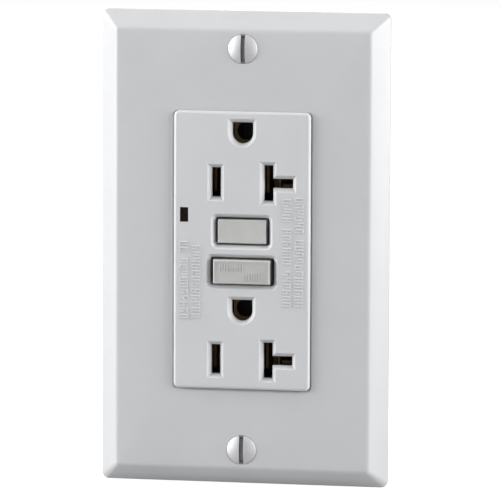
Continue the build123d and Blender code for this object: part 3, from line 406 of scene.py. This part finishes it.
def wound_rod(start, axis, length, crest_r, pitch, depth, point=0.0, rounded=False, around=40, steps=6):
    """Vertices and faces of a closed rod with one helical ridge: a screw thread, or wire wound on a tube."""
    turn = Vector((0, 0, 1)).rotation_difference(Vector(axis)).to_matrix()
    start = Vector(start)
    rows = max(2, int(length / pitch * steps) + 1)
    verts = []
    for i in range(rows):
        along = length * i / (rows - 1)
        taper = min(1.0, (length - along) / point) if point else 1.0
        for j in range(around):
            angle = 2 * math.pi * j / around
            phase = (along / pitch - j / around) % 1.0
            from_crest = abs(2 * phase - 1)
            if rounded:
                drop = 1 - math.sqrt(max(0.0, 1 - from_crest * from_crest))
            else:
                drop = min(1.0, max(0.0, (from_crest - 0.12) / 0.76))
            radius = crest_r - depth * max(drop, 1 - taper) - 0.4 * depth * (1 - taper)
            verts.append(start + turn @ Vector((radius * math.cos(angle), radius * math.sin(angle), along)))
    faces = grid_faces(rows, around)
    for row, order in ((0, -1), (rows - 1, 1)):
        centre = start + turn @ Vector((0, 0, length * row / (rows - 1)))
        verts.append(centre)
        ring = [row * around + j for j in range(around)][::order]
        faces += [(ring[j], ring[(j + 1) % around], len(verts) - 1) for j in range(around)]
    return verts, faces


THREAD_PITCH = 0.794 * MM


def threaded_screw(node, name, body, shanks, cut):
    """Rebuild a CAD screw node with real threads: keep its head, drop its plain shank, add the thread.

    shanks lists (start, axis, length, major radius), and cut(co) says if a point belongs to a plain shank.
    """
    source = frame["nodes"][node]
    built = bmesh.new()
    built.from_mesh(source.data)
    bmesh.ops.remove_doubles(built, verts=built.verts, dist=WELD_GAP)
    plain = [f for f in built.faces if any(cut(v.co) for v in f.verts)]
    bmesh.ops.delete(built, geom=plain, context="FACES")
    bmesh.ops.dissolve_limit(built, angle_limit=math.radians(0.5), verts=built.verts, edges=built.edges)
    sharp = [e for e in built.edges if e.is_manifold and e.calc_face_angle(0) > SHARP]
    bmesh.ops.bevel(built, geom=sharp, offset=SMALL_EDGE_MM * MM, segments=2, affect="EDGES", profile=0.5,
                    clamp_overlap=True)
    for start, axis, length, radius in shanks:
        verts, faces = wound_rod(start, axis, length, radius, THREAD_PITCH, 0.55 * THREAD_PITCH,
                                 point=1.2 * THREAD_PITCH)
        made = [built.verts.new(v) for v in verts]
        for face in faces:
            built.faces.new([made[i] for i in face])
    bmesh.ops.recalc_face_normals(built, faces=built.faces)
    mesh = bpy.data.meshes.new(name)
    built.to_mesh(mesh)
    built.free()
    mesh.materials.append(materials[node_slot[node]])
    mesh.shade_smooth()
    mesh.set_sharp_from_angle(angle=math.radians(40))
    piece = bpy.data.objects.new(name, mesh)
    scene.collection.objects.link(piece)
    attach(piece, body)
    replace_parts(piece, node)
    return piece


# The plate screws and the box screws, one pair each, all with the same thread.
SCREW_R = 1.72 * MM
HEAD_MARGIN = 0.01 * MM
OVAL_HEAD_R, OVAL_HEAD_L = 3.55 * MM, (0.85 + 2.11) * MM
PAN_HEAD_R, PAN_NECK_END = 3.6 * MM, 0.4 * MM


def screw_pair(node, name, head_r, thread_y):
    """Thread the two like screws of a node, which stand above and below the middle and start at thread_y."""
    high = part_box(node)[1]
    screw_z = high.z - head_r
    shanks = [((0, thread_y, side * screw_z), (0, 1, 0), high.y - thread_y, SCREW_R) for side in (1, -1)]
    threaded_screw(node, name, ROOT, shanks, lambda co: co.y > thread_y + HEAD_MARGIN)


screw_pair("plate_screws", "plate_screws_threaded", OVAL_HEAD_R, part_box("plate_screws")[0].y + OVAL_HEAD_L)
screw_pair("box_mounting_screws", "box_screws_threaded", PAN_HEAD_R, PAN_NECK_END)

# The ground screw on the left, and the four terminal screws, hot on the left and neutral on the right.
BINDING_R = 2.0 * MM
BINDING_HEAD_L = 2.4 * MM
for node_name in ["ground_screw"] + [f"{s}_{e}_screw" for s in ("hot", "neutral") for e in ("load", "line")]:
    low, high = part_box(node_name)
    left = node_name == "ground_screw" or node_name.startswith("hot")
    seat = low.x + BINDING_HEAD_L if left else high.x - BINDING_HEAD_L
    tip = high.x if left else low.x
    inward = 1 if left else -1
    start = (seat, (low.y + high.y) / 2, (low.z + high.z) / 2)
    threaded_screw(node_name, node_name + "_threaded", node_name,
                   [(start, (inward, 0, 0), abs(tip - seat), BINDING_R)],
                   lambda co, seat=seat, inward=inward: (co.x - seat) * inward > HEAD_MARGIN)

# The solenoid's outer layer of wire.
SOLENOID_WIRE = 0.26 * MM
low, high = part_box("solenoid_coil")
coil_r = (high.x - low.x) / 2
foot = ((low.x + high.x) / 2, (low.y + high.y) / 2, low.z)
verts, faces = wound_rod(foot, (0, 0, 1), high.z - low.z, coil_r, SOLENOID_WIRE, SOLENOID_WIRE / 2,
                         rounded=True, around=56)
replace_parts(add_piece("solenoid_coil_turns", verts, faces, "coil_wire"), "solenoid_coil")


SQUARENESS = 0.45


def toroid_turns(low, high, inner_r, turns, wire, around=28, steps=6):
    """Wire wound through and round a ring: a rounded band whose surface swells once for each turn."""
    centre = (low + high) / 2
    outer_r, half_y = (high.x - low.x) / 2, (high.y - low.y) / 2
    mean_r, half_r = (outer_r + inner_r) / 2, (outer_r - inner_r) / 2
    rows = turns * steps
    verts = []
    for i in range(rows):
        angle = 2 * math.pi * i / rows
        drop = wire * 0.5 * (1 - abs(math.cos(math.pi * i / steps)))
        for j in range(around):
            t = 2 * math.pi * j / around
            c, s = math.cos(t), math.sin(t)
            # a squared circle, so that the band stays flat on its faces
            r = mean_r + (half_r - drop) * math.copysign(abs(c) ** SQUARENESS, c)
            y = (half_y - drop) * math.copysign(abs(s) ** SQUARENESS, s)
            verts.append(centre + Vector((r * math.cos(angle), y, r * math.sin(angle))))
    faces = grid_faces(rows, around)
    faces += [((rows - 1) * around + j, (rows - 1) * around + (j + 1) % around, (j + 1) % around, j)
              for j in range(around)]
    return verts, faces


TOROID_HOLE_R = 3.85 * MM
TOROID_WIRE = 0.3 * MM
for coil_name, turns in (("sensing", 96), ("grounding", 80)):
    low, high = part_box(coil_name + "_winding")
    verts, faces = toroid_turns(low, high, TOROID_HOLE_R, turns, TOROID_WIRE)
    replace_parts(add_piece(coil_name + "_turns", verts, faces, "coil_wire"), coil_name + "_winding")


def open_coil(node, axis, turns, wire_r, around=14, steps=28):
    """A spring of round wire in place of a CAD one."""
    axis = Vector(axis)
    low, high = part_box(node)
    middle = (low + high) / 2
    coil_r = (high.x - low.x) / 2 - wire_r
    free_length = (high - low).dot(axis)
    turn = Vector((0, 0, 1)).rotation_difference(axis).to_matrix()
    rows = turns * steps + 1
    rise = (free_length - 2 * wire_r) / (rows - 1)
    verts = []
    for i in range(rows):
        angle = 2 * math.pi * i / steps
        outward = Vector((math.cos(angle), math.sin(angle), 0))
        centre = outward * coil_r + Vector((0, 0, rise * i - free_length / 2 + wire_r))
        for j in range(around):
            t = 2 * math.pi * j / around
            round_wire = outward * math.cos(t) + Vector((0, 0, math.sin(t)))
            verts.append(middle + turn @ (centre + round_wire * wire_r))
    faces = grid_faces(rows, around)
    faces += [tuple(range(around))[::-1], tuple(range((rows - 1) * around, rows * around))]
    piece = add_piece(node + "_coil", verts, faces, "spring_steel")
    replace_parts(piece, node)
    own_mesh(piece)


open_coil("reset_spring", (0, 1, 0), 5, 0.25 * MM)
open_coil("plunger_spring", (0, 0, 1), 4, 0.2 * MM)


# Raised marks: short strokes in rows, which stand where a maker's wording would be and spell nothing.

STROKE_SLOPE = 0.1 * MM
STROKE_MIN = 0.03 * MM
STROKE_ROOT = 0.02 * MM


def stroke_box(verts, faces, centre, across, up, size, proud):
    """A low bar with sloped sides on the plane that across and up span; proud is its height outwards."""
    out = Vector((0, -1, 0))
    first = len(verts)
    for level, shrink in ((-STROKE_ROOT, 0.0), (proud, STROKE_SLOPE)):
        half_across = max(size[0] / 2 - shrink, STROKE_MIN)
        half_up = max(size[1] / 2 - shrink, STROKE_MIN)
        for a, b in ((-1, -1), (1, -1), (1, 1), (-1, 1)):
            verts.append(centre + across * (a * half_across) + up * (b * half_up) + out * level)
    faces.append((first + 4, first + 5, first + 6, first + 7))
    for i in range(4):
        j = (i + 1) % 4
        faces.append((first + i, first + j, first + 4 + j, first + 4 + i))


def mark_row(verts, faces, start, along, up, length, height, pitch, width, proud, gap_every=0):
    """Strokes in a row from start: pairs of uprights of uneven length, some joined by a short bar."""
    travelled, count = 0.0, 0
    while travelled + pitch <= length:
        count += 1
        if gap_every and count % gap_every == 0:
            travelled += pitch * 0.8
            continue
        centre = start + along * (travelled + pitch / 2)
        for offset in (-0.24, 0.24):
            share = rng.choice((0.62, 0.8, 1.0, 1.0))
            shift = rng.choice((-0.5, 0.5)) * (1 - share) * height
            stroke_box(verts, faces, centre + along * (offset * pitch) + up * shift, along, up,
                       (width, share * height), proud)
        level = rng.choice((-0.42, 0.0, 0.42, None))
        if level is not None:
            stroke_box(verts, faces, centre + up * (level * height), along, up,
                       (0.48 * pitch, width), proud * 0.92)
        travelled += pitch


UP, RIGHT = Vector((0, 0, 1)), Vector((1, 0, 0))
FACE_Y = -6.3 * MM
RESET_PANEL_Y = -6.58 * MM
TEST_FRONT_Y = -6.0 * MM
# Columns on the face, read upwards: middle in x, top and bottom in mm; every how many places is left empty.
FACE_COLUMNS = ((-14.1, 3.5, -16.9, 11), (-11.1, 3.3, -16.7, 13),
                (10.9, 14.0, -13.4, 7), (13.9, 14.1, -13.3, 12))
FACE_PITCH = 1.5 * MM
# Rows on the reset button: left end and middle in z in mm; number of marks.
RESET_ROWS = ((-5.6, -3.95, 5), (0.3, -6.2, 4))
RESET_PITCH = 1.25 * MM
# The one row on the test button.
TEST_X, TEST_Z, TEST_COUNT = 0.6 * MM, 4.6 * MM, 4
TEST_PITCH = 1.1 * MM

verts, faces = [], []
for x, top, bottom, gap in FACE_COLUMNS:
    mark_row(verts, faces, Vector((x * MM, FACE_Y, bottom * MM)), UP, -RIGHT, (top - bottom) * MM,
             height=2.15 * MM, pitch=FACE_PITCH, width=0.4 * MM, proud=0.2 * MM, gap_every=gap)
add_piece("face_marks", verts, faces, "face_plastic", smooth=False)

verts, faces = [], []
for x, z, count in RESET_ROWS:
    mark_row(verts, faces, Vector((x * MM, RESET_PANEL_Y, z * MM)), RIGHT, UP, count * RESET_PITCH,
             height=1.9 * MM, pitch=RESET_PITCH, width=0.3 * MM, proud=0.12 * MM)
add_piece("reset_marks", verts, faces, "button_plastic", body="reset_button", smooth=False)

verts, faces = [], []
mark_row(verts, faces, Vector((TEST_X, TEST_FRONT_Y, TEST_Z)), RIGHT, UP, TEST_COUNT * TEST_PITCH,
         height=1.8 * MM, pitch=TEST_PITCH, width=0.26 * MM, proud=0.05 * MM)
add_piece("test_marks", verts, faces, "button_plastic", body="test_button", smooth=False)


# ---------------------------------------------------------------- light, floor and camera

def look_at(obj, target):
    """Turn a light so that it points at target."""
    obj.rotation_mode = "QUATERNION"
    obj.rotation_quaternion = (Vector(target) - obj.location).to_track_quat("-Z", "Y")


def soft_box(name, place, target, width, height, power):
    """An area light of that size and power, aimed at target."""
    lamp = bpy.data.lights.new(name, "AREA")
    lamp.shape = "RECTANGLE"
    lamp.size = width
    lamp.size_y = height
    lamp.energy = power
    obj = bpy.data.objects.new(name, lamp)
    scene.collection.objects.link(obj)
    obj.location = place
    look_at(obj, target)
    return obj


# Each soft box: where it stands from the middle of the object, its width and height in metres, its watts.
# Two strong ones graze the plate from its sides, so that bevels and chamfers shine and the front stays grey.
SOFT_BOXES = {
    "left_box": ((-0.88, -0.26, 0.1), 0.5, 0.9, 18.3),
    "right_box": ((0.88, -0.22, 0.1), 0.5, 0.9, 15.2),
    "top_box": ((0.0, -0.20, 0.9), 0.9, 0.4, 3.1),
    "front_box": ((0.15, -1.3, 0.25), 0.8, 0.8, 0.25),
    "back_box": ((-0.4, 1.0, 0.6), 0.8, 0.8, 6.0),
}
middle = (cad_low + cad_high) / 2
for box_name, (offset, width, height, power) in SOFT_BOXES.items():
    soft_box(box_name, middle + Vector(offset), middle, width, height, power)

# White to the camera, dim as a light, and middling in reflections, so that metal has a studio to mirror.
SKY_SEEN, SKY_LIGHT, SKY_MIRRORED = 1.05, 0.04, 0.35
world = bpy.data.worlds.new("studio")
scene.world = world
world.use_nodes = True
sky = world.node_tree
backdrop = sky.nodes["Background"]
backdrop.inputs["Color"].default_value = (1, 1, 1, 1)
ray = sky.nodes.new("ShaderNodeLightPath")
mirrored = add_node(sky, "ShaderNodeMapRange", {"To Min": SKY_LIGHT, "To Max": SKY_MIRRORED})
sky.links.new(ray.outputs["Is Glossy Ray"], mirrored.inputs["Value"])
seen = add_node(sky, "ShaderNodeMapRange", {"To Max": SKY_SEEN})
sky.links.new(ray.outputs["Is Camera Ray"], seen.inputs["Value"])
sky.links.new(mirrored.outputs["Result"], seen.inputs["To Min"])
sky.links.new(seen.outputs["Result"], backdrop.inputs["Strength"])

# A pale paper floor. It looks nearly white to the camera, and throws a little light up on the object.
FLOOR_GREY = 0.35
FLOOR_GLOW, FLOOR_SEEN = 0.2, 0.82
FLOOR_HALF = 6.0
floor_mesh = bpy.data.meshes.new("floor")
floor_build = bmesh.new()
bmesh.ops.create_grid(floor_build, x_segments=1, y_segments=1, size=FLOOR_HALF)
floor_build.to_mesh(floor_mesh)
floor_build.free()
floor = bpy.data.objects.new("floor", floor_mesh)
scene.collection.objects.link(floor)
floor.location = (0, 0, cad_low.z)
floor_material, floor_tree, floor_shader = node_tree("floor_paper")
floor_shader.inputs["Base Color"].default_value = (FLOOR_GREY, FLOOR_GREY, FLOOR_GREY, 1)
floor_shader.inputs["Roughness"].default_value = 0.95
floor_shader.inputs["Emission Color"].default_value = (1, 1, 1, 1)
floor_ray = floor_tree.nodes.new("ShaderNodeLightPath")
floor_level = add_node(floor_tree, "ShaderNodeMapRange", {"To Min": FLOOR_GLOW, "To Max": FLOOR_SEEN})
floor_tree.links.new(floor_ray.outputs["Is Camera Ray"], floor_level.inputs["Value"])
floor_tree.links.new(floor_level.outputs["Result"], floor_shader.inputs["Emission Strength"])
floor_mesh.materials.append(floor_material)

# The camera stands 1.2 m away, a little to the right and above, with a long lens.
AZIMUTH, ELEVATION, ROLL = math.radians(9.724), math.radians(7.739), math.radians(0.232)
DISTANCE = 1.2117
SENSOR_MM = 36
LENS_OVER_SENSOR = 5042.7 / 500
target = Vector((0.00099, 0, -0.000514))
back = Vector((math.sin(AZIMUTH) * math.cos(ELEVATION), -math.cos(AZIMUTH) * math.cos(ELEVATION),
               math.sin(ELEVATION)))
camera_data = bpy.data.cameras.new("camera")
camera_data.sensor_width = SENSOR_MM
camera_data.lens = SENSOR_MM * LENS_OVER_SENSOR
camera = bpy.data.objects.new("camera", camera_data)
scene.collection.objects.link(camera)
camera.rotation_mode = "QUATERNION"
camera.location = target + back * DISTANCE
camera.rotation_quaternion = (-back).to_track_quat("-Z", "Y") @ Matrix.Rotation(ROLL, 3, "Z").to_quaternion()
scene.camera = camera

scene.view_settings.view_transform = "Standard"
scene.view_settings.look = "None"
